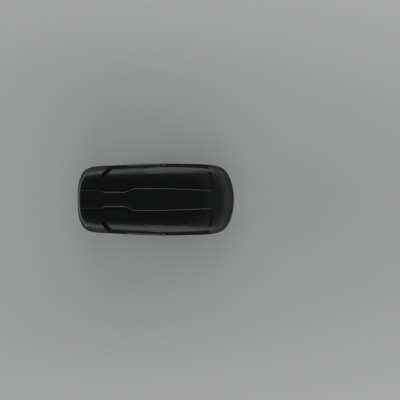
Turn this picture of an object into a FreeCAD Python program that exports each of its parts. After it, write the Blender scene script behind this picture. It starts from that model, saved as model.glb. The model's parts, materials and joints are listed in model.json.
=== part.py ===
import FreeCAD, Part
import os, math

os.makedirs("parts", exist_ok=True)
V = FreeCAD.Vector

# ---------------------------------------------------------------- driving dimensions (mm)
# X points to the nose, Y to the left, Z up; z = 0 is under the clamp hooks.
FLOOR_Z = 40.0            # underside of the base tray
RIM_Z = 150.0             # joint plane between base and lid, height of the hinge axes
SKIRT_Z = 140.0           # lower edge of the lid, outside the base flange
TOP_A, TOP_B = 271.2, -0.05247    # lid height over the rim: TOP_A + TOP_B * x
WALL = 3.0                # formed skins of lid and tray walls
FLOOR_T = 4.0             # tray floor and flange
AXIS_Y = 365.0            # hinge axes lie at y = +/- AXIS_Y
STRIKER_X = (-560.0, 0.0, 560.0)
BEAM_X = (-700.0, 660.0)  # rear and front lid stays
CLAMP_X = (-420.0, 350.0)
CLAMP_Y = 230.0
CLAMP_TRAVEL = 80.0
LOCK_X, LOCK_Z = 95.0, 231.0
SHAFT_Y, SHAFT_Z = 332.0, 178.0
UNLOCKED_DEG = -50.0      # claws swung away from the striker pins
STRAP_X = (-110.0, 70.0)

# Poles of the plan outline, tail to nose, left half; a closed cubic spline runs through both halves.
HALF = [(-975, 170), (-940, 310), (-865, 420), (-475, 425), (-45, 455), (535, 445), (790, 430), (900, 345),
        (975, 130)]
TAIL0, NOSE0, HALF0 = -973.5, 971.9, 449.7

# height fraction, nose x, tail x, half width
LID_LEVELS = [(0.00, 972.5, -973, 449), (0.12, 970, -974, 443), (0.25, 958, -974, 436),
              (0.41, 928, -973, 424), (0.70, 826, -968, 402), (0.82, 760, -964, 375),
              (0.91, 700, -959, 343), (0.965, 654, -953, 312), (1.00, 600, -944, 270)]
# height, nose x, tail x, half width
TRAY_LEVELS = [(147, 948, -950, 425), (120, 938, -942, 416), (95, 922, -928, 403),
               (66, 880, -895, 372), (48, 845, -868, 345), (40, 815, -840, 325)]
# plan of the raised centre panel, left half, tail to nose
PLATEAU = [(-930, 110), (-676, 110), (-622, 91), (-395, 91), (-365, 95), (-285, 129), (-255, 136), (50, 136),
           (400, 124), (670, 111)]
PLATEAU_RISE = 5.0


# ---------------------------------------------------------------- helpers
def box(x0, x1, y0, y1, z0, z1):
    return Part.makeBox(x1 - x0, y1 - y0, z1 - z0, V(x0, y0, z0))


def rod_x(x0, x1, y, z, r):
    return Part.makeCylinder(r, x1 - x0, V(x0, y, z), V(1, 0, 0))


def rod_y(y0, y1, x, z, r):
    return Part.makeCylinder(r, y1 - y0, V(x, y0, z), V(0, 1, 0))


def rod_z(z0, z1, x, y, r):
    return Part.makeCylinder(r, z1 - z0, V(x, y, z0), V(0, 0, 1))


def prism(points, way):
    pts = [V(*p) for p in points]
    return Part.Face(Part.makePolygon(pts + [pts[0]])).extrude(V(*way))


def plate_x(yz, x0, x1):
    return prism([(x0, y, z) for y, z in yz], (x1 - x0, 0, 0))


def plate_y(xz, y0, y1):
    return prism([(x, y0, z) for x, z in xz], (0, y1 - y0, 0))


def plate_z(xy, z0, z1):
    return prism([(x, y, z0) for x, y in xy], (0, 0, z1 - z0))


def mirror(shape):
    return shape.mirror(V(0, 0, 0), V(0, 1, 0))


def join(shapes):
    out = shapes[0].multiFuse(shapes[1:]) if len(shapes) > 1 else shapes[0]
    return out.removeSplitter()


def turned(shape, centre, axis, deg):
    out = shape.copy()
    out.rotate(V(*centre), V(*axis), deg)
    return out


def moved(shape, x, y, z):
    out = shape.copy()
    out.translate(V(x, y, z))
    return out


def save(name, shapes):
    if not isinstance(shapes, list):
        shapes = [shapes]
    solids = [s for shape in shapes for s in shape.Solids]
    out = solids[0] if len(solids) == 1 else Part.makeCompound(solids)
    for s in solids:
        if not s.isValid() or s.Volume < 1:
            print("bad solid in", name)
    out.exportStep("parts/%s.step" % name)


def ring(nose, tail, half, z_of):
    poles = []
    for x, y in HALF + [(x, -y) for x, y in reversed(HALF)]:
        px = tail + (x - TAIL0) * (nose - tail) / (NOSE0 - TAIL0)
        poles.append(V(px, y * half / HALF0, z_of(px)))
    curve = Part.BSplineCurve()
    n = len(poles)
    curve.buildFromPolesMultsKnots(poles, [1] * (n + 1), list(range(n + 1)), True, 3)
    return Part.Wire([curve.toShape()])


def lid_solid(inset, low):
    """Solid filling the lid outline, moved inwards by inset; low is its flat lower plane."""
    def plane(f):
        return lambda x: RIM_Z + f * (TOP_A + TOP_B * x - inset)
    wires = [ring(973 - 1.2 * inset, -973 + inset, 449.5 - inset, lambda x: low)]
    for f, nose, tail, half in LID_LEVELS:
        wires.append(ring(nose - 1.2 * inset, tail + inset, half - inset, plane(f)))
    return Part.makeLoft(wires, True, False)


def tray_solid(inset, top):
    wires = []
    for z, nose, tail, half in TRAY_LEVELS:
        z = top if z == 147 else z + (FLOOR_T if inset and z < 70 else 0)
        wires.append(ring(nose - inset, tail + inset, half - inset, lambda x, z=z: z))
    return Part.makeLoft(wires, True, False)


LID_OUT, LID_IN = lid_solid(0, SKIRT_Z), lid_solid(WALL, SKIRT_Z - 1)
TRAY_OUT, TRAY_IN = tray_solid(0, 147), tray_solid(WALL, RIM_Z + 1)


# ---------------------------------------------------------------- base tray and its fittings
def clamp_places():
    return [(x, y) for x in CLAMP_X for y in (CLAMP_Y, -CLAMP_Y)]


def slot_cuts(z0, z1):
    reach = CLAMP_TRAVEL + 68
    return [box(x - reach, x + reach, y - 17, y + 17, z0, z1) for x, y in clamp_places()]


RIVET_X = (-625, -250, -30, 170, 545)


def floor_rivets(extra=0.0):
    out = []
    for y in (CLAMP_Y, -CLAMP_Y):
        for x in RIVET_X:
            for dy in (-24, 24):
                rivet = rod_z(FLOOR_Z, 47, x, y + dy, 3 + extra)
                out.append(rivet.fuse(rod_z(47, 49, x, y + dy, 6)) if not extra else rivet)
    return out


def base_tray():
    flange = Part.Face(ring(963, -964, 440, lambda x: RIM_Z - FLOOR_T)).extrude(V(0, 0, FLOOR_T))
    tray = TRAY_OUT.fuse(flange).cut(TRAY_IN)
    holes = slot_cuts(FLOOR_Z - 1, 50) + [rod_z(FLOOR_Z - 1, 46, x, y + dy, 3)
                                         for x in RIVET_X for y in (CLAMP_Y, -CLAMP_Y) for dy in (-24, 24)]
    return tray.cut(Part.makeCompound(holes))


def floor_rail(y):
    rail = [box(-640, 560, y - 46, y + 46, 44, 47)]
    for s in (-1, 1):
        a, b = sorted((y + s * 43, y + s * 46))
        rail.append(box(-640, 560, a, b, 44, 55))
        a, b = sorted((y + s * 36, y + s * 46))
        rail.append(box(-640, 560, a, b, 53, 55))
    cuts = slot_cuts(40, 50) + [rod_z(40, 50, x, y + dy, 3) for x in RIVET_X for dy in (-24, 24)]
    return join(rail).cut(Part.makeCompound(cuts))


def base_beam(x0):
    beam = box(x0 - 30, x0 + 30, -440, 440, 112, 130).cut(box(x0 - 28, x0 + 28, -441, 441, 111, 128))
    beam = beam.common(TRAY_IN)
    ear = [(-24, 128), (24, 128), (24, 138), (12, 160), (7, 163), (-7, 163), (-12, 160), (-24, 138)]
    parts = [beam]
    for x in (x0 - 30, x0 + 28):
        parts.append(plate_x(ear, x, x + 2).cut(rod_x(x - 1, x + 3, 0, RIM_Z, 5)))
    return join(parts)


def pivot_pin(x0):
    return rod_x(x0 - 30.4, x0 + 30.4, 0, RIM_Z, 5)


def stay_spring(x0, side):
    """Torsion coil beside the arm, its straight leg under the arm and its tail on the beam."""
    turns, pitch, wire, r = 3.0, 4.9, 2.1, 15.0
    start = x0 + side * 5.2
    helix = Part.makeHelix(pitch, pitch * turns, r)
    helix.rotate(V(0, 0, 0), V(0, 1, 0), 90)
    helix.rotate(V(0, 0, 0), V(1, 0, 0), 90)
    begin = helix.Edges[0].valueAt(helix.Edges[0].FirstParameter)
    tangent = helix.Edges[0].tangentAt(helix.Edges[0].FirstParameter)
    profile = Part.Wire([Part.makeCircle(wire, begin, tangent)])
    coil = Part.Wire(helix.Edges).makePipeShell([profile], True, True)
    if side < 0:
        coil.rotate(V(0, 0, 0), V(0, 0, 1), 180)
    coil.translate(V(start, 0, RIM_Z))
    return coil


def arm(x0, side, way):
    """Stay arm from the middle pivot to the hinge axis; side picks its x place, way its y direction."""
    xa, xb = sorted((x0 + side * 23.6, x0 + side * 27.6))
    reach = way * AXIS_Y
    bar = [(0, RIM_Z + 11), (reach, RIM_Z + 8), (reach, RIM_Z - 8), (0, RIM_Z - 11)]
    body = join([plate_x(bar, xa, xb), rod_x(xa, xb, 0, RIM_Z, 15), rod_x(xa, xb, reach, RIM_Z, 11)])
    hole = 5.0 if way > 0 else 5.05
    window = plate_x([(way * 40, RIM_Z + 4), (way * 320, RIM_Z + 3), (way * 320, RIM_Z - 3),
                      (way * 40, RIM_Z - 4)], xa - 1, xb + 1)
    return body.cut(Part.makeCompound([rod_x(xa - 1, xb + 1, 0, RIM_Z, hole),
                                       rod_x(xa - 1, xb + 1, reach, RIM_Z, 4), window]))


def glide(x0, side, way):
    y = way * AXIS_Y

    def part(a, b, r):
        a, b = sorted((x0 + side * a, x0 + side * b))
        return rod_x(a, b, y, RIM_Z, r)
    return join([part(21.6, 23.6, 6.5), part(21.6, 36, 4), part(27.6, 30.6, 6.5), part(33.5, 36, 6.5)])


def striker_bracket(x):
    ear = [(356, 143), (360, 141), (380, 128), (440, 128), (440, 150), (392, 152), (376, 158), (369, 160),
           (361, 160), (356, 156)]
    shape = [plate_x(ear, x + a, x + a + 3) for a in (-27, 24)] + [box(x - 27, x + 27, 380, 440, 128, 131)]
    shape = join(shape).cut(rod_x(x - 30, x + 30, AXIS_Y, RIM_Z, 4))
    near = shape.common(box(x - 30, x + 30, 340, 384, 100, 170))
    far = shape.common(TRAY_IN)
    return join([near, far])


def striker_pin(x):
    return join([rod_x(x - 30, x + 30, AXIS_Y, RIM_Z, 4), rod_x(x - 30, x - 27, AXIS_Y, RIM_Z, 6.5)])


def pin_bush(x):
    return rod_x(x - 16.5, x + 16.5, AXIS_Y, RIM_Z, 9).cut(rod_x(x - 18, x + 18, AXIS_Y, RIM_Z, 4))


def strap(x):
    """Load strap: loops round both anchor bars and lies across the floor."""
    half = [(176, 47.4), (152, 47.4), (134, 44), (0, 44), (0, 45.5), (133.4, 45.5), (151.4, 48.9), (176, 48.9)]
    out = []
    for s in (1, -1):
        tail = plate_x([(s * y, z) for y, z in half], x - 12.5, x + 12.5)
        loop = rod_x(x - 12.5, x + 12.5, s * 176, 52, 4.6).cut(rod_x(x - 14, x + 14, s * 176, 52, 3.1))
        out += [tail, loop]
    return join(out)


def strap_buckle(x):
    """Cam buckle: a frame the strap runs under, with its lever lying flat."""
    frame = box(x - 18, x + 18, 38, 82, 45.5, 56).cut(box(x - 14, x + 14, 37, 83, 45, 51))
    frame = frame.cut(box(x - 12.5, x + 12.5, 44, 76, 50, 57))
    bar = rod_x(x - 14, x + 14, 70, 53, 3)
    lever = plate_x([(68, 53), (44, 51.6), (42, 54), (44, 57), (66, 59), (72, 57)], x - 12, x + 12)
    return join([frame, bar, lever])


def strap_anchor(x, s):
    """Two lugs on the floor rail with a cross bar for the strap loop."""
    lug = [(184, 44), (170, 44), (170, 54), (174, 57), (184, 57)]
    parts = [plate_x([(s * y, z) for y, z in lug], x + a, x + a + 3) for a in (-17, 14)]
    parts.append(rod_x(x - 17, x + 17, s * 176, 52, 3))
    return join(parts)


# ---------------------------------------------------------------- lid and its fittings
def lid_shell():
    plan = PLATEAU + [(x, -y) for x, y in reversed(PLATEAU)]
    raised = moved(LID_OUT, 0, 0, PLATEAU_RISE).common(plate_z(plan, 300, 500))
    shell = LID_OUT.fuse(raised).cut(LID_IN)
    bores = [rod_y(380, 460, LOCK_X, LOCK_Z, 24), rod_y(-460, -380, LOCK_X, LOCK_Z, 24)]
    return shell.cut(Part.makeCompound(bores))


def side_rail():
    web = box(-738, 702, AXIS_Y + 11, AXIS_Y + 14, 160, 209)
    shelf = box(-738, 702, AXIS_Y + 11, 460, 206, 209)
    notches = [box(x - 34, x + 34, AXIS_Y, AXIS_Y + 20, 150, 190) for x in STRIKER_X]
    notches.append(rod_y(380, 460, LOCK_X, LOCK_Z, 24))
    rivets = [rod_y(AXIS_Y, AXIS_Y + 20, x + dx, 198, 2.5) for x in STRIKER_X for dx in (-9, 9)]
    return join([web, shelf]).cut(Part.makeCompound(notches + rivets)).common(LID_IN)


def saddle(x):
    """Nylon saddle that drops over the pin bush when the lid closes."""
    block = box(x - 15, x + 15, AXIS_Y - 12, AXIS_Y + 11, RIM_Z, 204)
    cuts = [rod_x(x - 16, x + 16, AXIS_Y, RIM_Z, 9.2), box(x - 16, x + 16, AXIS_Y - 13, AXIS_Y - 4, 182, 205)]
    cuts += [rod_y(AXIS_Y - 5, AXIS_Y + 12, x + dx, 198, 2.5) for dx in (-9, 9)]
    return block.cut(Part.makeCompound(cuts))


def saddle_rivet(x):
    shank = rod_y(AXIS_Y - 4, AXIS_Y + 14, x, 198, 2.5)
    return join([shank, rod_y(AXIS_Y + 14, AXIS_Y + 16, x, 198, 5), rod_y(AXIS_Y - 6, AXIS_Y - 4, x, 198, 5)])


def lid_rail(x0):
    """Inverted channel across the lid; the stay glides run in its slots."""
    end = AXIS_Y + 11
    rail = box(x0 - 33, x0 + 33, -end, end, 139, 176).cut(box(x0 - 31, x0 + 31, -end - 1, end + 1, 138, 174))
    cuts = []
    for side, way in ((1, -1), (-1, 1)):
        a, b = sorted((x0 + side * 30.5, x0 + side * 33.5))
        y0, y1 = sorted((way * (AXIS_Y + 0.2), way * 148))
        cuts += [box(a, b, y0, y1, RIM_Z - 4.2, RIM_Z + 4.2), rod_x(a, b, way * (AXIS_Y + 0.2), RIM_Z, 4.2),
                 rod_x(a, b, way * 148, RIM_Z, 4.2)]
    cuts += [rod_z(170, 180, x0, y, 11) for y in (-300, -200, -100, 0, 100, 200, 300)]
    return rail.cut(Part.makeCompound(cuts))


def grip_strip():
    """Satin strip set along the side of the lid, its ends raked."""
    proud = lid_solid(-2.2, SKIRT_Z)
    ends = [(-376, 196), (58, 196), (44, 250), (-352, 250)]
    return proud.cut(LID_OUT).common(plate_y(ends, 300, 470))


def lock_housing():
    body = rod_y(404, 436, LOCK_X, LOCK_Z, 24).cut(rod_y(403, 437, LOCK_X, LOCK_Z, 6.05))
    body = body.cut(rod_y(430, 437, LOCK_X, LOCK_Z, 21))
    plate = box(LOCK_X - 30, LOCK_X + 30, 404, 407, LOCK_Z - 15, LOCK_Z + 28)
    plate = plate.cut(rod_y(400, 410, LOCK_X, LOCK_Z, 20))
    return join([body, plate])


def lock_knob():
    disc = rod_y(431, 448, LOCK_X, LOCK_Z, 20)
    bar = box(LOCK_X - 18, LOCK_X + 18, 440, 453, LOCK_Z - 4.5, LOCK_Z + 4.5)
    disc = disc.cut(rod_y(442, 450, LOCK_X, LOCK_Z, 17.5))
    keyhole = box(LOCK_X - 1, LOCK_X + 1, 450, 454, LOCK_Z - 3.5, LOCK_Z + 3.5)
    return join([disc, bar, rod_y(398, 432, LOCK_X, LOCK_Z, 6), rod_y(396, 403.6, LOCK_X, LOCK_Z, 10)]).cut(keyhole)


def lock_shaft():
    shaft = rod_x(-592, 592, SHAFT_Y, SHAFT_Z, 4)
    crank = plate_x([(SHAFT_Y - 6, SHAFT_Z), (SHAFT_Y + 6, SHAFT_Z), (SHAFT_Y + 8, SHAFT_Z + 34),
                     (SHAFT_Y - 2, SHAFT_Z + 34)], LOCK_X - 3, LOCK_X + 3)
    return join([shaft, crank])


def polar(r, deg):
    return (SHAFT_Y + r * math.cos(math.radians(deg)), SHAFT_Z + r * math.sin(math.radians(deg)))


def lock_claw(x):
    """Claw drawn hooked under the striker pin, then swung back to the unlocked position."""
    toward = math.degrees(math.atan2(RIM_Z - SHAFT_Z, AXIS_Y - SHAFT_Y))
    arc_out = [polar(56, toward + a) for a in (-32, -25, -18, -11, -4, 3, 10, 14)]
    arc_in = [polar(49, toward + a) for a in (14, 10, 3, -4, -11, -18)]
    arm_side = [polar(12, toward + 20), polar(12, toward - 78)]
    claw = join([plate_x(arc_out + arc_in + arm_side, x + 17.6, x + 22.6),
                 rod_x(x + 17.6, x + 22.6, SHAFT_Y, SHAFT_Z, 12)])
    claw = claw.cut(rod_x(x, x + 40, SHAFT_Y, SHAFT_Z, 4))
    return turned(claw, (x, SHAFT_Y, SHAFT_Z), (1, 0, 0), UNLOCKED_DEG)


def shaft_bearings():
    """Plates under the lid rails' side webs that carry the lock shaft."""
    out = []
    for x in (-600, -40, 520):
        strip = [(SHAFT_Y - 9, SHAFT_Z - 9), (SHAFT_Y + 8, SHAFT_Z - 9), (AXIS_Y + 11, 196), (AXIS_Y + 11, 206),
                 (SHAFT_Y - 9, SHAFT_Z + 12)]
        plate = plate_x(strip, x - 2, x + 2)
        out.append(plate.cut(rod_x(x - 3, x + 3, SHAFT_Y, SHAFT_Z, 4.05)))
    return out


# ---------------------------------------------------------------- bar clamps
def clamp_housing():
    foot = box(-66, 66, -42.6, 42.6, 47.3, 52.6).cut(box(-64, 64, -15, 15, 47, 53))
    cheeks = [box(-62, 62, a, a + 6, 47.3, 84) for a in (-21, 15)]
    roof = box(-62, 62, -21, 21, 84, 90).cut(rod_z(80, 95, 0, 0, 5.05))
    ribs = [box(a, a + 4, -30, -21, 52, 80) for a in (-50, -2, 46)] + \
           [box(a, a + 4, 21, 30, 52, 80) for a in (-50, -2, 46)]
    pins = [rod_y(-16, 16, x, 62, 4) for x in (-46, 46)]
    ends = [box(-62, -59, -16, 16, 74, 85), box(59, 62, -16, 16, 74, 85)]
    return join([foot, roof] + cheeks + ribs + pins + ends)


def clamp_knob():
    z0, z1 = 91, 116
    body = rod_z(z0, z1, 0, 0, 31)
    lobes = [rod_z(z0, z1, 28 * math.cos(a), 28 * math.sin(a), 10)
             for a in (math.radians(60 * k) for k in range(6))]
    dish = rod_z(z1 - 4, z1 + 1, 0, 0, 20)
    spindle = rod_z(66, z0 + 1, 0, 0, 5)
    collar = rod_z(78, 83.6, 0, 0, 9)
    return join([body] + lobes).cut(dish).fuse(join([spindle, collar])).removeSplitter()


def clamp_jaw(s):
    """Hooked jaw; s = 1 faces the front of the bar."""
    side = [(42, 62), (42, 12), (28, 10), (27, 4), (31, 0), (50, 0), (55, 6), (55, 60), (46, 73), (30, 73),
            (13, 68), (13, 63), (30, 60)]
    jaw = plate_y([(s * x, z) for x, z in side], -13, 13)
    jaw = jaw.fuse(rod_y(-13, 13, s * 46, 62, 11)).removeSplitter()
    return jaw.cut(rod_y(-14, 14, s * 46, 62, 4.05))


# ---------------------------------------------------------------- write every node
def both(name_left, name_right, shapes):
    save(name_left, shapes)
    save(name_right, [mirror(s) for s in shapes])


save("base_tray", base_tray())
save("left_floor_rail", floor_rail(CLAMP_Y))
save("right_floor_rail", floor_rail(-CLAMP_Y))
save("floor_rivets", floor_rivets())
save("rear_base_beam", base_beam(BEAM_X[0]))
save("front_base_beam", base_beam(BEAM_X[1]))
save("stay_pivot_pins", [pivot_pin(x) for x in BEAM_X])
save("stay_springs", [stay_spring(x, s) for x in BEAM_X for s in (1, -1)])
for where, x in zip(("rear", "front"), BEAM_X):
    save(where + "_left_arm", arm(x, -1, 1))
    save(where + "_right_arm", arm(x, 1, -1))
    save(where + "_right_glide", glide(x, 1, -1))
save("left_glides", [glide(x, -1, 1) for x in BEAM_X])
both("left_striker_brackets", "right_striker_brackets", [striker_bracket(x) for x in STRIKER_X])
pins = [striker_pin(x) for x in STRIKER_X]
save("striker_pins", pins + [mirror(s) for s in pins])
bushes = [pin_bush(x) for x in STRIKER_X]
save("pin_bushes", bushes + [mirror(s) for s in bushes])
save("rear_strap", strap(STRAP_X[0]))
save("front_strap", strap(STRAP_X[1]))
save("strap_buckles", [strap_buckle(x) for x in STRAP_X])
save("strap_anchors", [strap_anchor(x, s) for x in STRAP_X for s in (1, -1)])

save("lid_shell", lid_shell())
save("rear_lid_rail", lid_rail(BEAM_X[0]))
save("front_lid_rail", lid_rail(BEAM_X[1]))
both("left_side_rail", "right_side_rail", [side_rail()])
both("left_saddles", "right_saddles", [saddle(x) for x in STRIKER_X])
rivets = [saddle_rivet(x + dx) for x in STRIKER_X for dx in (-9, 9)]
save("lid_rivets", rivets + [mirror(s) for s in rivets])
both("left_grip_strip", "right_grip_strip", [grip_strip()])
both("left_lock_housing", "right_lock_housing", [lock_housing()])
bearings = shaft_bearings()
save("shaft_bearings", bearings + [mirror(s) for s in bearings])
both("left_lock_knob", "right_lock_knob", [lock_knob()])
both("left_lock_shaft", "right_lock_shaft", [lock_shaft()])
both("left_lock_claws", "right_lock_claws", [lock_claw(x) for x in STRIKER_X])

for fore, x in zip(("rear", "front"), CLAMP_X):
    for hand, y in (("left", CLAMP_Y), ("right", -CLAMP_Y)):
        name = "%s_%s_clamp" % (fore, hand)
        save(name + "_housing", moved(clamp_housing(), x, y, 0))
        save(name + "_knob", moved(clamp_knob(), x, y, 0))
        save(name + "_jaw_front", moved(clamp_jaw(1), x, y, 0))
        save(name + "_jaw_rear", moved(clamp_jaw(-1), x, y, 0))
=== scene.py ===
import bpy
import bmesh
import json
import math
import numpy as np
from mathutils import Matrix, Vector


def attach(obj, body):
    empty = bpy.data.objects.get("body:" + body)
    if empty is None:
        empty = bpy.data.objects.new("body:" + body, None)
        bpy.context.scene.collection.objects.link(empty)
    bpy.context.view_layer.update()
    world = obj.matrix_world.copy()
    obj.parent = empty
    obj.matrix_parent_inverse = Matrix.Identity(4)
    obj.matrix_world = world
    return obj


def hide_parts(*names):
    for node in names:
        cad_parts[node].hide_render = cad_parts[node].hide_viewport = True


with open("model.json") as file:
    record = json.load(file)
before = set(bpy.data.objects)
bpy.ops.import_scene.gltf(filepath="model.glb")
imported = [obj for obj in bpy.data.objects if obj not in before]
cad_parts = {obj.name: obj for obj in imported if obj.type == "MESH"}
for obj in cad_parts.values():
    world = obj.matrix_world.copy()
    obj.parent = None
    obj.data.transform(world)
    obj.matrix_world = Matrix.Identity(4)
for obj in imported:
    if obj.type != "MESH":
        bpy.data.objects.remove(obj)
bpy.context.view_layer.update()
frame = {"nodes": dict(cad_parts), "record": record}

# Lengths named in capitals are millimetres; anything handed to Blender is in metres.
MM = 0.001


# ------------------------------------------------------------------ materials
def new_mat(name, color, rough, metal=0.0, **sockets):
    m = bpy.data.materials.new(name)
    m.use_nodes = True
    p = m.node_tree.nodes["Principled BSDF"]
    p.inputs["Base Color"].default_value = (*color, 1)
    p.inputs["Roughness"].default_value = rough
    p.inputs["Metallic"].default_value = metal
    for key, value in sockets.items():
        p.inputs[key.replace("_", " ")].default_value = value
    return m


def node(m, kind, **inputs):
    n = m.node_tree.nodes.new("ShaderNode" + kind)
    for key, value in inputs.items():
        if key in n.inputs:
            n.inputs[key].default_value = value
        else:
            setattr(n, key, value)
    return n


def link(m, a, b):
    m.node_tree.links.new(a, b)


def coords(m, scale=(1, 1, 1)):
    tc, mp = node(m, "TexCoord"), node(m, "Mapping")
    mp.inputs["Scale"].default_value = scale
    link(m, tc.outputs["Object"], mp.inputs["Vector"])
    return mp.outputs["Vector"]


def noise(m, scale, detail=3.0, stretch=(1, 1, 1), rough=0.5):
    n = node(m, "TexNoise", Scale=scale, Detail=detail, Roughness=rough)
    link(m, coords(m, stretch), n.inputs["Vector"])
    return n.outputs["Fac"]


def ramp(m, fac, low, high, a=0.0, b=1.0):
    """Map fac from low..high to grey or colour a..b."""
    n = node(m, "ValToRGB")
    e = n.color_ramp.elements
    e[0].position, e[1].position = low, high
    e[0].color = (a, a, a, 1) if isinstance(a, float) else (*a, 1)
    e[1].color = (b, b, b, 1) if isinstance(b, float) else (*b, 1)
    link(m, fac, n.inputs["Fac"])
    return n.outputs["Color"]


def finish_mat(m, color=None, rough=None, heights=()):
    """Plug in colour and roughness, and stack bump layers of (height, distance in metres, strength)."""
    p = m.node_tree.nodes["Principled BSDF"]
    if color is not None:
        link(m, color, p.inputs["Base Color"])
    if rough is not None:
        link(m, rough, p.inputs["Roughness"])
    last = None
    for height, distance, strength in heights:
        b = node(m, "Bump", Distance=distance, Strength=strength)
        link(m, height, b.inputs["Height"])
        if last is not None:
            link(m, last, b.inputs["Normal"])
        last = b.outputs["Normal"]
    if last is not None:
        link(m, last, p.inputs["Normal"])
    return m


def cells(m, scale, feature="F1", stretch=(1, 1, 1)):
    n = node(m, "TexVoronoi", Scale=scale, feature=feature)
    link(m, coords(m, stretch), n.inputs["Vector"])
    return n.outputs["Distance"]


def plastic_grain(name, dark, light, r0, r1, grain=620, depth=0.00012, **sockets):
    """Thermoformed or moulded black plastic: pebbled grain, soft mottling, slight scuffing."""
    m = new_mat(name, dark, r0, **sockets)
    color = ramp(m, noise(m, 5.0, 5.0), 0.35, 0.72, dark, light)
    rough = ramp(m, noise(m, 14.0, 6.0, rough=0.65), 0.3, 0.75, r0, r1)
    return finish_mat(m, color, rough, [(cells(m, grain), depth, 0.55), (noise(m, 3.0, 2.0), 0.002, 0.06)])


def zoned_plastic(name):
    """Grained lid plastic whose stored "zone" runs from 0, the satin panels, to 1, the matt side band and
    recesses; a second stored mask along the raised lip round the tail paints a pale highlight there,
    standing in for the glint off its ridge."""
    m = new_mat(name, (0.004, 0.004, 0.0044), 0.5)
    zone = node(m, "Attribute", attribute_name="zone").outputs["Fac"]
    mottle = noise(m, 5.0, 5.0)
    both = node(m, "Mix", data_type="RGBA")
    link(m, zone, both.inputs[0])
    link(m, ramp(m, mottle, 0.35, 0.72, (0.0041, 0.0041, 0.0045), (0.0058, 0.0058, 0.0063)), both.inputs[6])
    link(m, ramp(m, mottle, 0.35, 0.72, (0.0040, 0.0040, 0.0044), (0.0052, 0.0052, 0.0057)), both.inputs[7])
    p = m.node_tree.nodes["Principled BSDF"]
    link(m, ramp(m, zone, 0.0, 1.0, 0.24, 0.06), p.inputs["Specular IOR Level"])
    scuff = node(m, "Math", operation="MULTIPLY_ADD")
    link(m, noise(m, 14.0, 6.0, rough=0.65), scuff.inputs[0])
    scuff.inputs[1].default_value = 0.10
    link(m, ramp(m, zone, 0.0, 1.0, 0.45, 0.78), scuff.inputs[2])
    # Painted highlight: along the tail lip the colour turns pale grey, standing in for the glint off the
    # ridge.
    crest_highlight = node(m, "Mix", data_type="RGBA")
    link(m, node(m, "Attribute", attribute_name="crest_highlight").outputs["Fac"], crest_highlight.inputs[0])
    link(m, both.outputs[2], crest_highlight.inputs[6])
    link(m, ramp(m, mottle, 0.35, 0.72, (0.085, 0.085, 0.088), (0.110, 0.110, 0.114)), crest_highlight.inputs[7])
    return finish_mat(m, crest_highlight.outputs[2], scuff.outputs[0],
                      [(cells(m, 620), 0.00012, 0.5), (noise(m, 3.0, 2.0), 0.0012, 0.05)])


def brushed(name, color, rough, metal=1.0, stretch=(0.03, 1, 1), scale=900, tint=0.75):
    m = new_mat(name, color, rough, metal)
    lines = noise(m, scale, 4.0, stretch, 0.7)
    shade = ramp(m, noise(m, 22.0, 4.0), 0.3, 0.7, tuple(c * tint for c in color), color)
    return finish_mat(m, shade, ramp(m, lines, 0.25, 0.75, rough * 0.75, min(1.0, rough * 1.35)),
                      [(lines, 0.00005, 0.35)])


def coated(name, color, rough):
    """E-coated steel: faint orange peel and paler rubbed patches."""
    m = new_mat(name, color, rough)
    worn = ramp(m, noise(m, 38.0, 8.0, rough=0.7), 0.60, 0.78, color, tuple(c * 2.6 + 0.01 for c in color))
    return finish_mat(m, worn, ramp(m, noise(m, 25.0, 5.0), 0.3, 0.7, rough * 0.8, rough * 1.3),
                      [(noise(m, 420.0, 2.0), 0.00006, 0.4)])


def woven(name, dark, light):
    """Polyester webbing: rows of warp yarns along Y crossed by fine weft."""
    m = new_mat(name, dark, 0.85, Sheen_Weight=0.35)
    warp = node(m, "TexWave", Scale=330.0, bands_direction="X", Distortion=0.6)
    link(m, coords(m), warp.inputs["Vector"])
    weft = node(m, "TexWave", Scale=260.0, bands_direction="Y", Distortion=1.2)
    link(m, coords(m), weft.inputs["Vector"])
    both = node(m, "Math", operation="MULTIPLY")
    link(m, warp.outputs["Fac"], both.inputs[0])
    link(m, weft.outputs["Fac"], both.inputs[1])
    shade = ramp(m, both.outputs[0], 0.1, 0.8, dark, light)
    return finish_mat(m, shade, None, [(both.outputs[0], 0.0004, 0.8), (noise(m, 60.0, 3.0), 0.0006, 0.25)])


MAT = {
    "shell": zoned_plastic("lid_grain_plastic"),
    "tray": plastic_grain("tray_grain_plastic", (0.016, 0.016, 0.017), (0.024, 0.024, 0.025),
                          0.55, 0.70, 480),
    "trim": plastic_grain("satin_trim_plastic", (0.012, 0.012, 0.013), (0.016, 0.016, 0.017),
                          0.42, 0.54, 900),
    "moulded": plastic_grain("filled_nylon", (0.020, 0.020, 0.021), (0.034, 0.034, 0.036),
                             0.42, 0.60, 1300),
    "steel": brushed("zinc_plated_steel", (0.52, 0.53, 0.54), 0.36),
    "dark_steel": coated("ecoat_steel", (0.016, 0.016, 0.018), 0.42),
    "spring_steel": brushed("oiled_spring_steel", (0.20, 0.20, 0.21), 0.30, stretch=(1, 1, 1), scale=300),
    "aluminium": brushed("mill_aluminium", (0.66, 0.67, 0.68), 0.34, stretch=(0.01, 1, 1)),
    "nylon": plastic_grain("natural_acetal", (0.60, 0.59, 0.54), (0.70, 0.69, 0.64),
                           0.30, 0.42, 1500, 0.00003),
    "webbing": woven("grey_webbing", (0.035, 0.036, 0.040), (0.150, 0.153, 0.165)),
    "knob_grey": plastic_grain("knob_plastic", (0.070, 0.070, 0.074), (0.090, 0.090, 0.095),
                               0.40, 0.52, 1100),
    "soft_grip": plastic_grain("soft_grip_plastic", (0.030, 0.030, 0.032), (0.042, 0.042, 0.045),
                               0.50, 0.66, 1000),
}

slot_of = {s["node"]: s["material_slot"] for s in frame["record"]["subparts"]}
for name, obj in frame["nodes"].items():
    obj.data.materials.clear()
    obj.data.materials.append(MAT[slot_of[name]])

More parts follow.
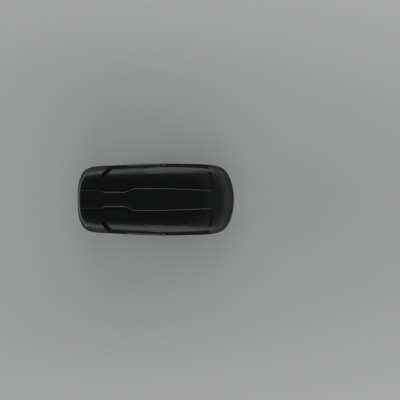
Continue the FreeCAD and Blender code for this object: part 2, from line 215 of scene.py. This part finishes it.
# ------------------------------------------------------------------ shell form
HALF = np.array([(-975, 170), (-940, 310), (-865, 420), (-475, 425), (-45, 455),
                 (535, 445), (790, 430), (900, 345), (975, 130)], float)
RING = np.vstack([HALF, HALF[::-1] * (1, -1)])
TAIL0, NOSE0, HALF0 = -973.5, 971.9, 449.7
T0, T1 = -0.5, len(HALF) - 0.5
RIM_Z = 150.0
TOP_A, TOP_B = 271.2, -0.05247
# Height fraction, nose x, tail x, half width. WALL is shared by the forms that blend along the lid: the
# rounded tail and nose, the creased side behind the middle and the straight shoulder facet ahead of it.
WALL = [(0.00, 972.5, -973, 449), (0.12, 970, -974, 443), (0.25, 958, -974, 436), (0.41, 928, -974, 424)]
TAIL = WALL + [(0.66, 846, -968, 409), (0.80, 774, -963, 389), (0.905, 704, -957, 358),
               (0.962, 657, -949, 327), (1.00, 600, -935, 284)]
NOSE = WALL + [(0.66, 846, -968, 406), (0.80, 774, -963, 382), (0.905, 704, -957, 344),
               (0.962, 657, -949, 312), (1.00, 600, -935, 270)]
CREASED = WALL + [(0.74, 808, -965, 394), (0.855, 738, -960, 366), (0.93, 685, -953, 336),
                  (0.972, 645, -945, 305), (1.00, 600, -935, 262)]
FACET = WALL + [(0.72, 818, -965, 404), (0.823, 758, -962, 376), (0.912, 699, -956, 346),
                (0.976, 640, -944, 317), (1.00, 600, -935, 275)]
# Steps count the skirt and then the levels of a form. The crease is at step 5, the flat top past the last.
SKIRT, SKIRT_Z = (973, -973, 449.5), 140.0
CREASE, TOP_STEP = 5, 9.5
STEPS = np.concatenate([np.linspace(0, 1, 3)[:-1], np.linspace(1, 4.7, 24), [4.82, 4.92, 5.0, 5.08, 5.18],
                        np.linspace(5.3, 7.8, 34), np.linspace(7.9, 9.0, 12)])
# The raised centre panel's half width along x, and the middle lines of the pressings, as (x, |y|) points.
PLATEAU_X = [-1000, -690, -668, -640, -622, -395, -365, -285, -255, 50, 400, 640, 1000]
PLATEAU_Y = [104, 104, 102, 86, 82, 82, 86, 122, 129, 130, 119, 107, 107]
NOTCH = [(-649, 283), (-641, 300), (-627, 318), (-610, 336), (-592, 355), (-572, 378), (-556, 404)]
BAND = [(668, 308), (672, 291), (683, 260), (690, 215), (690, 130)]
LIP = [(-948, -40), (-948, 0), (-945, 105), (-934, 160), (-920, 208), (-903, 252), (-884, 292),
       (-860, 325), (-842, 342)]
# Depth or rise of each pressing, and half the width of its cosine profile. The gutter's middle line is
# GUTTER_AWAY outside the raised panel's edge.
WELL_DEPTH, GUTTER_DEPTH, GUTTER_HALF, GUTTER_AWAY = 3.5, 4.0, 16, 24
NOTCH_DEPTH, NOTCH_HALF = 20.0, 30
SEAM_DEPTH, SEAM_HALF = 2.5, 9
LIP_RISE, LIP_HALF = 5.0, 9
BROW_DROP = 14.0
# The raised panel's side ramps are this far either way, plus more at its narrow neck and at its front end.
RAMP_HALF, NECK_RAMP, FRONT_RAMP, NECK_RISE = 6.5, 3.5, 60.0, 2.8
LID_WALL, TRAY_WALL_T = 3.2, 3.6
LOCK_X, LOCK_Z, BORE_R = 95.0, 231.0, 24.3
SLOT_X, SLOT_Y, SLOT_Z, SLOT_SIZE = (-420, 350), (-230, 230), 45, (296, 34, 30)
STRAP_X = (-110.0, 70.0)


def smooth(v, a, b):
    """0 at a, 1 at b, with level ends."""
    t = np.clip((v - a) / (b - a), 0, 1)
    return t * t * (3 - 2 * t)


def arc_length(points):
    """Length along a row of 2-D points, starting from 0."""
    return np.concatenate([[0], np.cumsum(np.hypot(*np.diff(points, axis=0).T))])


def outline(t):
    """Points of the closed cubic outline; t = -0.5 at the tail centre and T1 at the nose centre."""
    i = np.floor(t).astype(int)
    u = (t - i)[:, None]
    n = len(RING)
    p = [RING[(i + k) % n] for k in (-1, 0, 1, 2)]
    return ((1 - u) ** 3 * p[0] + (3 * u ** 3 - 6 * u ** 2 + 4) * p[1]
            + (-3 * u ** 3 + 3 * u ** 2 + 3 * u + 1) * p[2] + u ** 3 * p[3]) / 6


def spokes(step, fine=()):
    """Parameters round the left half outline, spaced by step, or closer where fine's (x0, x1, step) say."""
    t = np.linspace(T0, T1, 6001)
    p = outline(t)
    d = np.hypot(*np.diff(p, axis=0).T)
    mid = (p[1:, 0] + p[:-1, 0]) / 2
    size = np.full(len(mid), float(step))
    for x0, x1, s in fine:
        size[(mid > x0) & (mid < x1)] = s
    count = np.concatenate([[0], np.cumsum(d / size)])
    n = int(round(count[-1]))
    return np.interp(np.linspace(0, count[-1], n + 1), count, t)


def level(base, nose, tail, half):
    """The base outline stretched to a level's nose, tail and half width."""
    x = tail + (base[:, 0] - TAIL0) * (nose - tail) / (NOSE0 - TAIL0)
    return x, base[:, 1] * half / HALF0


def monotone(u, p, q):
    """Monotone cubic through rows p at u, sampled at q."""
    h = np.diff(u)
    shape = (-1,) + (1,) * (p.ndim - 1)
    d = np.diff(p, axis=0) / h.reshape(shape)
    m = np.zeros_like(p)
    w1, w2 = (2 * h[1:] + h[:-1]).reshape(shape), (h[1:] + 2 * h[:-1]).reshape(shape)
    a, b = d[:-1], d[1:]
    same = a * b > 0
    divisor = np.where(same, w1 / np.where(same, a, 1) + w2 / np.where(same, b, 1), 1)
    m[1:-1] = np.where(same, (w1 + w2) / divisor, 0)
    m[0], m[-1] = d[0], d[-1]
    i = np.clip(np.searchsorted(u, q, side="right") - 1, 0, len(h) - 1)
    s = ((q - u[i]) / h[i]).reshape(shape)
    hh = h[i].reshape(shape)
    return ((2 * s ** 3 - 3 * s ** 2 + 1) * p[i] + (s ** 3 - 2 * s ** 2 + s) * hh * m[i]
            + (-2 * s ** 3 + 3 * s ** 2) * p[i + 1] + (s ** 3 - s ** 2) * hh * m[i + 1])


def plateau_edge(x):
    return np.interp(x, PLATEAU_X, PLATEAU_Y)


def spread(edge):
    """Rows (x, y) from an edge ring in to the centre line, crowded at the edge of the raised panel."""
    edge_x, edge_y = edge[:, 0], edge[:, 1]
    middle = edge_x * 0.8 - 30
    safe = np.maximum(edge_y, 1e-6)

    def crossing(extra):
        y = np.full(len(edge_x), 113.0)
        for _ in range(25):
            near = plateau_edge(edge_x + (middle - edge_x) * (1 - y / safe)) + extra
            y = np.minimum(near, edge_y * (0.62 + extra * 0.006))
        w = 1 - y / safe
        w[0], w[-1] = w[1], w[-2]
        return w
    wo, wi = crossing(19.0), crossing(-4.0)
    stops = [wo * s ** 1.5 for s in np.linspace(0, 1, 22)[1:]]
    stops += [wo + (wi - wo) * s for s in np.linspace(0, 1, 10)[1:]]
    stops += [wi + (1 - wi) * s for s in np.linspace(0, 1, 9)[1:]]
    return [(edge_x + (middle - edge_x) * w, edge_y * (1 - w)) for w in stops]


def mesh_object(name, verts, faces, mat):
    me = bpy.data.meshes.new(name)
    me.from_pydata([tuple(v) for v in verts], [], faces)
    me.validate()
    me.polygons.foreach_set("use_smooth", [True] * len(me.polygons))
    me.materials.append(mat)
    ob = bpy.data.objects.new(name, me)
    bpy.context.scene.collection.objects.link(ob)
    return ob


def apply_all(ob):
    """Turn the modifier stack into plain mesh."""
    bpy.context.view_layer.update()
    dg = bpy.context.evaluated_depsgraph_get()
    me = bpy.data.meshes.new_from_object(ob.evaluated_get(dg))
    ob.modifiers.clear()
    old = ob.data
    ob.data = me
    bpy.data.meshes.remove(old)


def shell_mesh(rows):
    """Join rows of points over the left half, tail to nose, with their mirror; the last row is on y = 0."""
    n = len(rows[0])
    verts, index = [], []
    for k, row in enumerate(rows):
        last = k == len(rows) - 1
        start = len(verts)
        verts += [tuple(p) for p in row]
        left = list(range(start, start + n))
        if last:
            right = left
        else:
            start = len(verts)
            verts += [(p[0], -p[1], p[2]) for p in row[1:-1]]
            right = [left[0]] + list(range(start, start + n - 2)) + [left[-1]]
        index.append((left, right))
    faces = []
    for (l0, r0), (l1, r1) in zip(index[:-1], index[1:]):
        for i in range(n - 1):
            faces.append((l0[i + 1], l0[i], l1[i], l1[i + 1]))
            faces.append((r0[i], r0[i + 1], r1[i + 1], r1[i]))
    return np.array(verts) * MM, faces


def along(points, x, ay):
    """Distance to a polyline of (x, |y|) points, and how far along it the nearest place is, 0 to 1."""
    best, place = np.full(x.shape, 1e9), np.zeros(x.shape)
    n = len(points) - 1
    for i, ((x0, y0), (x1, y1)) in enumerate(zip(points[:-1], points[1:])):
        dx, dy = x1 - x0, y1 - y0
        s = np.clip(((x - x0) * dx + (ay - y0) * dy) / (dx * dx + dy * dy), 0, 1)
        d = np.hypot(x - x0 - s * dx, ay - y0 - s * dy)
        place = np.where(d < best, (i + s) / n, place)
        best = np.minimum(best, d)
    return best, place


def rounded(points, times=2):
    """Cut the corners of a polyline."""
    p = np.array(points, float)
    for _ in range(times):
        q = np.empty((2 * len(p) - 2, 2))
        q[0::2], q[1::2] = 0.75 * p[:-1] + 0.25 * p[1:], 0.25 * p[:-1] + 0.75 * p[1:]
        p = np.vstack([p[:1], q, p[-1:]])
    return [tuple(v) for v in p]


def dip(d, half_width):
    """1 at distance 0, falling as a cosine to 0 at half_width."""
    return 0.5 * (1 + np.cos(np.pi * np.clip(d / half_width, 0, 1)))


def lid_relief(x, y, f):
    """Height of the pressed features over the plain form; f is the height fraction there."""
    ay = np.abs(y)
    p = plateau_edge(x)
    neck = smooth(x, -668, -638) * (1 - smooth(x, -400, -330))
    half_ramp = RAMP_HALF + NECK_RAMP * neck + FRONT_RAMP * smooth(x, 674, 712)
    inside = 1 - smooth(ay, p + RAMP_HALF - half_ramp, p + RAMP_HALF + half_ramp)
    ends = smooth(x, -962, -940) * (1 - smooth(x, 620, 820))
    tall = np.interp(x, [-700, -668, 300, 660], [4.4, 5.0, 5.0, 5.5]) + NECK_RISE * neck
    rise = tall * inside * ends
    rear = np.interp(ay, [0, 245, 262, 347, 390, 420], [-640, -640, -672, -614, -564, -530])
    well = smooth(x, rear - 16, rear + 16) * (1 - smooth(x, 640, 705))
    well = WELL_DEPTH * well * (1 - smooth(ay, 330, 395)) * (1 - inside)
    d, s = along(NOTCH, x, ay)
    notch = NOTCH_DEPTH * dip(d, NOTCH_HALF) * smooth(s, -0.12, 0.16)
    d, s = along(BAND, x, ay)
    band = dip(d, np.interp(s, [0, 0.3, 1], [34, 30, 30]))
    band *= np.interp(s, [0, 0.15, 0.3, 0.8, 1], [12, 13, 7, 5, 0])
    gutter = GUTTER_DEPTH * dip(ay - p - GUTTER_AWAY, GUTTER_HALF)
    gutter *= smooth(x, -640, -610) * (1 - smooth(x, -400, -350))
    seam = SEAM_DEPTH * dip(ay - 0.703 * np.interp(x, [0, 300, 700], [450, 448, 430]), SEAM_HALF)
    seam *= smooth(x, 20, 120) * (1 - smooth(x, 600, 650))
    brow = BROW_DROP * np.clip((x - 150) / 500, 0, 1) ** 2 * (1 - smooth(x, 640, 860))
    return rise + (-well - notch - band - gutter - seam - brow) * smooth(f, 0.50, 0.66)


NOTCH, BAND, LIP = rounded(NOTCH), rounded(BAND), rounded(LIP)


def lid_zone(x, y, k):
    """1 in the matt side band and notch, less on the rear flank and in the front groove, 0 on the satin
    panels. k counts the levels of the form from the skirt up."""
    ay = np.abs(y)
    side = smooth(x, -600, -560) * (1 - smooth(x, 640, 690)) * (k < 4.97)
    ends = smooth(ay, 405, 425) * smooth(x, -700, -600) * (1 - smooth(x, 640, 760)) * (k < 4)
    skirt = float(k < 1.3) * np.ones_like(x)
    notch = 1 - smooth(along(NOTCH, x, ay)[0], 20, 31)
    flank = 0.45 * (1 - smooth(x, -600, -560)) * smooth(ay, 60, 130) * (1 - float(smooth(k, 4.6, 5.5)))
    band = 1 - smooth(along(BAND, x, ay)[0], 18, 27)
    return np.maximum.reduce([side, ends, skirt, flank, notch * (k > 2), 0.6 * band * (k > 4)])


def form_levels(base, table):
    """One form of the lid: the arc length up its side at each level, the level rows and their heights."""
    x, y = level(base, *SKIRT)
    pts, heights = [np.stack([x, y, np.full_like(x, SKIRT_Z)], 1)], [-0.03]
    for f, nose, tail, half in table:
        x, y = level(base, nose, tail, half)
        pts.append(np.stack([x, y, RIM_Z + f * (TOP_A + TOP_B * x)], 1))
        heights.append(f)
    pts = np.array(pts)
    return arc_length(pts[:, len(base) // 2, 1:]), pts, heights


def smooth_row(u, pts, k, arc):
    return monotone(u, pts, arc)[0]


def creased_row(u, pts, k, arc):
    """Smooth below and above the crease, which stays sharp."""
    part = slice(0, CREASE + 1) if k <= CREASE else slice(CREASE, len(u))
    return monotone(u[part], pts[part], arc)[0]


def facet_row(u, pts, k, arc):
    """Smooth up to the crease, straight facets above it."""
    if k <= CREASE:
        return monotone(u[:CREASE + 1], pts[:CREASE + 1], arc)[0]
    j = min(int(k), len(u) - 2)
    return pts[j] + (pts[j + 1] - pts[j]) * (arc[0] - u[j]) / (u[j + 1] - u[j])


def lid_rows(base):
    """Rows from the skirt up to the centre line, each with its height fractions and its step."""
    x0 = base[:, 0]
    tail_end, nose_end = 1 - smooth(x0, -690, -560), smooth(x0, 640, 760)
    facet = smooth(x0, -60, 130) * (1 - nose_end)
    weights = [tail_end, nose_end, 1 - tail_end - nose_end - facet, facet]
    forms = [form_levels(base, table) for table in (TAIL, NOSE, CREASED, FACET)]
    samplers = (smooth_row, smooth_row, creased_row, facet_row)
    rows, heights = [], []
    for k in STEPS:
        row, height = 0, 0
        for (u, pts, fr), sample, weight in zip(forms, samplers, weights):
            arc = np.array([np.interp(k, np.arange(len(u)), u)])
            row = row + sample(u, pts, k, arc) * weight[:, None]
            height = height + np.interp(k, np.arange(len(fr)), fr) * weight
        rows.append(row)
        heights.append(height)
    for x, y in spread(rows[-1]):
        rows.append(np.stack([x, y, RIM_Z + TOP_A + TOP_B * x], 1))
        heights.append(np.ones(len(base)))
    return rows, heights, list(STEPS) + [TOP_STEP] * (len(rows) - len(STEPS))


def build_lid():
    """The lid's outer form with its pressings, thickened inwards, with its matt areas and its painted lip
    highlight marked.
    """
    fine = [(-975, -830, 4.0), (-700, -520, 3.5), (-400, -250, 5.0), (600, 740, 3.5), (740, 900, 6.0)]
    base = outline(spokes(8.0, fine))
    base[0, 1] = base[-1, 1] = 0.0
    rows, heights, steps = lid_rows(base)
    for row, f in zip(rows, heights):
        relief = lid_relief(row[:, 0], row[:, 1], f)
        d, s = along(LIP, row[:, 0], row[:, 1])
        lip = LIP_RISE * dip(d, LIP_HALF) * (1 - smooth(s, 0.8, 1.0)) * smooth(f, 0.5, 0.7)
        row[:, 2] += relief
        row[:, 2] += lip
    verts, faces = shell_mesh(rows)
    lid = mesh_object("lid_skin", verts, faces, MAT["shell"])
    zones = []
    for i, (row, step) in enumerate(zip(rows, steps)):
        zone = lid_zone(row[:, 0], row[:, 1], step)
        zones += list(zone) + (list(zone[1:-1]) if i < len(rows) - 1 else [])
    lid.data.attributes.new("zone", "FLOAT", "POINT").data.foreach_set("value", zones)
    # Mask of the painted highlight along the crest of the tail lip.
    d, s = along(LIP, verts[:, 0] / MM, np.abs(verts[:, 1]) / MM)
    crest_highlight = (1 - smooth(d, 2.0, 6.5)) * (1 - smooth(s, 0.75, 1.0)) * (verts[:, 2] > 0.35)
    lid.data.attributes.new("crest_highlight", "FLOAT", "POINT").data.foreach_set("value", crest_highlight)
    solid = lid.modifiers.new("wall", "SOLIDIFY")
    solid.thickness, solid.offset = LID_WALL * MM, -1.0
    return lid


def cutter(name, size, place, round_axis=None):
    """Solid to subtract from a skin: a box of size with rounded corners, or a rod of (radius, length)
    turned about round_axis."""
    bm = bmesh.new()
    if round_axis is None:
        bmesh.ops.create_cube(bm, size=1.0)
        for v in bm.verts:
            v.co = Vector(a * b for a, b in zip(v.co, size))
        ends = [e for e in bm.edges if abs(e.verts[0].co.z - e.verts[1].co.z) > 1e-6]
        corner = min(size[0], size[1]) * 0.12
        bmesh.ops.bevel(bm, geom=ends, offset=corner, segments=4, affect="EDGES", profile=0.5)
    else:
        radius, length = size
        bmesh.ops.create_cone(bm, cap_ends=True, segments=48, radius1=radius, radius2=radius, depth=length)
        bmesh.ops.rotate(bm, verts=bm.verts, matrix=Matrix.Rotation(math.pi / 2, 3, round_axis))
    me = bpy.data.meshes.new(name)
    bm.to_mesh(me)
    bm.free()
    ob = bpy.data.objects.new(name, me)
    bpy.context.scene.collection.objects.link(ob)
    ob.location = place
    return ob


def cut_out(ob, cutters):
    """Subtract the cutters, keep the cut edges sharp, and remove the cutters."""
    for c in cutters:
        mod = ob.modifiers.new("cut", "BOOLEAN")
        mod.operation, mod.object, mod.solver = "DIFFERENCE", c, "EXACT"
    apply_all(ob)
    ob.data.set_sharp_from_angle(angle=math.radians(40))
    for c in cutters:
        me = c.data
        bpy.data.objects.remove(c)
        bpy.data.meshes.remove(me)


lid = build_lid()
bore = (BORE_R * MM, 0.12)
cut_out(lid, [cutter("bore", bore, (LOCK_X * MM, y, LOCK_Z * MM), "X") for y in (0.43, -0.43)])
# The cut leaves new points round the lock bores without the zone of the matt band they lie in.
for v, stored in zip(lid.data.vertices, lid.data.attributes["zone"].data):
    if math.hypot(v.co.x - LOCK_X * MM, v.co.z - LOCK_Z * MM) < 0.035 and abs(v.co.y) > 0.3:
        stored.value = 1.0
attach(lid, "lid")
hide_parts("lid_shell")

# ------------------------------------------------------------------ base tray
TRAY_FLANGE = [(150, 962, -963, 439), (150, 956, -957, 431), (149.6, 951, -952, 427)]
TRAY_WALL = [(145, 945, -947, 422), (120, 935, -939, 413), (95, 919, -925, 400), (70, 877, -892, 369),
             (52, 842, -865, 342), (46, 824, -849, 329), (44, 806, -834, 314)]
# Stiffening beads of the floor: from x, to x, |y| of each.
BEADS = [(x0, x1, y) for x0, x1 in ((-820, -760), (690, 770)) for y in (0, 55, 110, 165)]
BEADS += [(x0, x1, y) for x0, x1 in ((-650, -150), (-78, 38), (110, 600)) for y in (0, 50, 100, 150)]
BEADS += [(-600, 560, 305)]
FLOOR_TOP, BEAD_RISE, BEAD_HALF = 44.0, 3.0, 12


def floor_relief(x, y):
    """Height of the flat-topped beads over the floor."""
    out = np.zeros_like(x)
    for x0, x1, yc in BEADS:
        dx = np.maximum(np.maximum(x0 - x, x - x1), 0)
        away = np.hypot(dx, np.abs(y) - yc)
        out = np.maximum(out, BEAD_RISE * np.clip(1.25 * dip(away, BEAD_HALF), 0, 1))
    return out


def build_tray():
    t = spokes(7.0)
    base = outline(t)
    base[0, 1] = base[-1, 1] = 0.0
    rows, wall = [], []
    for table, found in ((TRAY_FLANGE, rows), (TRAY_WALL, wall)):
        for z, nose, tail, half in table:
            x, y = level(base, nose, tail, half)
            found.append(np.stack([x, y, np.full_like(x, z)], 1))
    wall = np.array(wall)
    u = arc_length(wall[:, len(t) // 2, 1:])
    for q in np.linspace(0, u[-1], 26):
        rows.append(monotone(u, wall, np.array([q]))[0])
    edge_x, edge_y = rows[-1][:, 0], rows[-1][:, 1]
    middle = edge_x * 0.8 - 15
    for w in np.linspace(0, 1, 57)[1:]:
        x, y = edge_x + (middle - edge_x) * w, edge_y * (1 - w)
        rows.append(np.stack([x, y, FLOOR_TOP + floor_relief(x, y)], 1))
    verts, faces = shell_mesh(rows)
    tray = mesh_object("tray_skin", verts, faces, MAT["tray"])
    solid = tray.modifiers.new("wall", "SOLIDIFY")
    solid.thickness, solid.offset = TRAY_WALL_T * MM, -1.0
    size = [v * MM for v in SLOT_SIZE]
    cut_out(tray, [cutter("slot", size, (x * MM, y * MM, SLOT_Z * MM)) for x in SLOT_X for y in SLOT_Y])
    return tray


tray = build_tray()
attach(tray, "base")
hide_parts("base_tray")


# ------------------------------------------------------------------ load straps
def strap_path():
    """Middle line of one strap in (y, z) millimetres: tail, floor run, round both anchor bars."""
    half = [(0, 44.8), (134, 44.8), (150, 47.4), (170, 47.9)]
    loop = [(176 + 3.9 * math.cos(a), 52 + 3.9 * math.sin(a)) for a in np.radians(np.arange(-100, 131, 15))]
    back = [(168, 51.4), (158, 49.6), (138, 46.6)]
    right = half + loop + back
    return [(-y, z) for y, z in reversed(right)] + right[1:]


def build_strap(name, node_name, x0):
    """Flat webbing along the strap's middle line at x0, slightly wavy where it lies on the floor."""
    rng = np.random.default_rng(int(abs(x0) * 10))
    pts = np.array(strap_path())
    d = arc_length(pts)
    q = np.linspace(0, d[-1], int(d[-1] / 2.0))
    path = np.stack([np.interp(q, d, pts[:, 0]), np.interp(q, d, pts[:, 1])], 1)
    path[:, 0] = np.convolve(np.pad(path[:, 0], 2, "edge"), np.ones(5) / 5, "valid")
    path[:, 1] = np.convolve(np.pad(path[:, 1], 2, "edge"), np.ones(5) / 5, "valid")
    flat = np.clip((130 - np.abs(path[:, 0])) / 40, 0, 1) * (path[:, 1] < 46)
    path[:, 1] += flat * 0.9 * (np.sin(path[:, 0] / 23 + rng.uniform(0, 6)) * 0.5 + 0.5)
    tan = np.gradient(path, axis=0)
    tan /= np.linalg.norm(tan, axis=1)[:, None]
    side = np.stack([-tan[:, 1], tan[:, 0]], 1)
    top = [(-10.5, 0.7), (-5, 0.7), (0, 0.7), (5, 0.7), (10.5, 0.7)]
    across = [(-12.5, 0), (-12.1, 0.55), *top, (12.1, 0.55), (12.5, 0), (12.1, -0.55)]
    across += [(a, -h) for a, h in reversed(top)] + [(-12.1, -0.55)]
    verts, faces = [], []
    m = len(across)
    for (y, z), (ny, nz) in zip(path, side):
        verts += [((x0 + a) * MM, (y + ny * h) * MM, (z + nz * h) * MM) for a, h in across]
    for i in range(len(path) - 1):
        for j in range(m):
            a, b = i * m + j, i * m + (j + 1) % m
            faces.append((a, b, b + m, a + m))
    faces += [tuple(reversed(range(m))), tuple(range((len(path) - 1) * m, len(path) * m))]
    ob = mesh_object(name, verts, faces, MAT["webbing"])
    outward_normals(ob)
    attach(ob, "base")
    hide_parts(node_name)


def outward_normals(ob):
    """Turn every face of a closed mesh to face out."""
    bm = bmesh.new()
    bm.from_mesh(ob.data)
    bmesh.ops.recalc_face_normals(bm, faces=bm.faces)
    bm.to_mesh(ob.data)
    bm.free()


build_strap("rear_strap_webbing", "rear_strap", STRAP_X[0])
build_strap("front_strap_webbing", "front_strap", STRAP_X[1])


# ------------------------------------------------------------------ softened copies of the hard parts
def drop_slivers(ob):
    """Remove zero-area faces and zero-length edges."""
    bm = bmesh.new()
    bm.from_mesh(ob.data)
    bmesh.ops.dissolve_degenerate(bm, dist=2e-6, edges=bm.edges)
    bm.to_mesh(ob.data)
    bm.free()


def soften(node_name, body, width):
    """Copy of a CAD part with its sharp edges rounded by width, in metres."""
    src = frame["nodes"][node_name]
    me = src.data.copy()
    bm = bmesh.new()
    bm.from_mesh(me)
    bmesh.ops.remove_doubles(bm, verts=bm.verts, dist=1e-6)
    bmesh.ops.dissolve_limit(bm, angle_limit=0.01, verts=bm.verts, edges=bm.edges)
    bm.to_mesh(me)
    bm.free()
    ob = bpy.data.objects.new(node_name + "_soft", me)
    bpy.context.scene.collection.objects.link(ob)
    ob.matrix_world = src.matrix_world.copy()
    me.polygons.foreach_set("use_smooth", [True] * len(me.polygons))
    if width:
        bevel = ob.modifiers.new("bevel", "BEVEL")
        bevel.width, bevel.segments = width, 2
        bevel.limit_method, bevel.angle_limit = "ANGLE", math.radians(35)
        bevel.use_clamp_overlap, bevel.harden_normals = True, True
        apply_all(ob)
        drop_slivers(ob)
    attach(ob, body)
    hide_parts(node_name)


# Edge rounding of each material in metres. The springs are round wire already.
BEVEL = {"moulded": 0.0011, "trim": 0.0006, "knob_grey": 0.0014, "soft_grip": 0.0008, "dark_steel": 0.0007,
         "steel": 0.0005, "aluminium": 0.0006, "nylon": 0.0006, "spring_steel": 0.0}
REBUILT = ("base_tray", "lid_shell", "rear_strap", "front_strap")
body_of = {n: b for b, members in frame["record"]["behaviour"]["bodies"].items() for n in members}
for name in sorted(frame["nodes"]):
    if name not in REBUILT:
        soften(name, body_of[name], BEVEL[slot_of[name]])

# ------------------------------------------------------------------ floor, lights, camera
FLOOR_SIDE, FLOOR_GAP = 80, 0.0005
bpy.ops.mesh.primitive_plane_add(size=FLOOR_SIDE, location=(0, 0, -FLOOR_GAP))
floor = bpy.context.object
floor.name = "studio_floor"
floor_mat = new_mat("pale_floor", (0.34, 0.34, 0.34), 0.9)
finish_mat(floor_mat, None, None, [(noise(floor_mat, 40.0, 4.0), 0.001, 0.05)])
floor.data.materials.append(floor_mat)

world = bpy.data.worlds.new("studio")
bpy.context.scene.world = world
world.use_nodes = True
wn = world.node_tree
sky, sep, shade = (wn.nodes.new("ShaderNode" + k) for k in ("TexCoord", "SeparateXYZ", "ValToRGB"))
wn.links.new(sky.outputs["Generated"], sep.inputs[0])
wn.links.new(sep.outputs["Z"], shade.inputs["Fac"])
stops = shade.color_ramp.elements
stops[0].position, stops[0].color = 0.0, (0.85, 0.87, 0.90, 1)
stops[1].position, stops[1].color = 0.85, (0.10, 0.105, 0.11, 1)
wn.links.new(shade.outputs["Color"], wn.nodes["Background"].inputs["Color"])
wn.nodes["Background"].inputs["Strength"].default_value = 0.7


def area_light(name, place, aim, size, power):
    """Soft rectangular light of power watts at place, facing aim."""
    data = bpy.data.lights.new(name, "AREA")
    data.shape, data.size, data.size_y, data.energy = "RECTANGLE", size[0], size[1], power
    ob = bpy.data.objects.new(name, data)
    bpy.context.scene.collection.objects.link(ob)
    ob.location = place
    ob.rotation_euler = (Vector(aim) - Vector(place)).to_track_quat("-Z", "Y").to_euler()


SIDE_POWER, NOSE_POWER, CORNER_POWER, TAIL_POWER = 410, 65, 100, 340
area_light("left_soft", (0, 6.0, 1.6), (0, 0, 0.3), (7, 1.8), SIDE_POWER)
area_light("right_soft", (0, -6.0, 1.6), (0, 0, 0.3), (7, 1.8), SIDE_POWER)
area_light("nose_soft", (6.5, 0, 1.8), (0, 0, 0.3), (3, 1.2), NOSE_POWER)
area_light("nose_left_soft", (5.2, 4.2, 1.6), (0.6, 0, 0.3), (2.4, 1.4), CORNER_POWER)
area_light("nose_right_soft", (5.2, -4.2, 1.6), (0.6, 0, 0.3), (2.4, 1.4), CORNER_POWER)
area_light("tail_soft", (-6.5, 0, 1.2), (-0.9, 0, 0.4), (4, 2.0), TAIL_POWER)

# The camera looks straight down from far above and sees a square of VIEW_SIDE metres at the lid's rim.
LENS, SENSOR, VIEW_SIDE = 200.0, 36.0, 5.0
cam_data = bpy.data.cameras.new("camera")
cam_data.lens, cam_data.sensor_width = LENS, SENSOR
cam_data.clip_end = 500
cam = bpy.data.objects.new("camera", cam_data)
bpy.context.scene.collection.objects.link(cam)
cam.location = (0.549, -0.0065, RIM_Z * MM + VIEW_SIDE * LENS / SENSOR)
cam.rotation_euler = (0, 0, 0)
bpy.context.scene.camera = cam
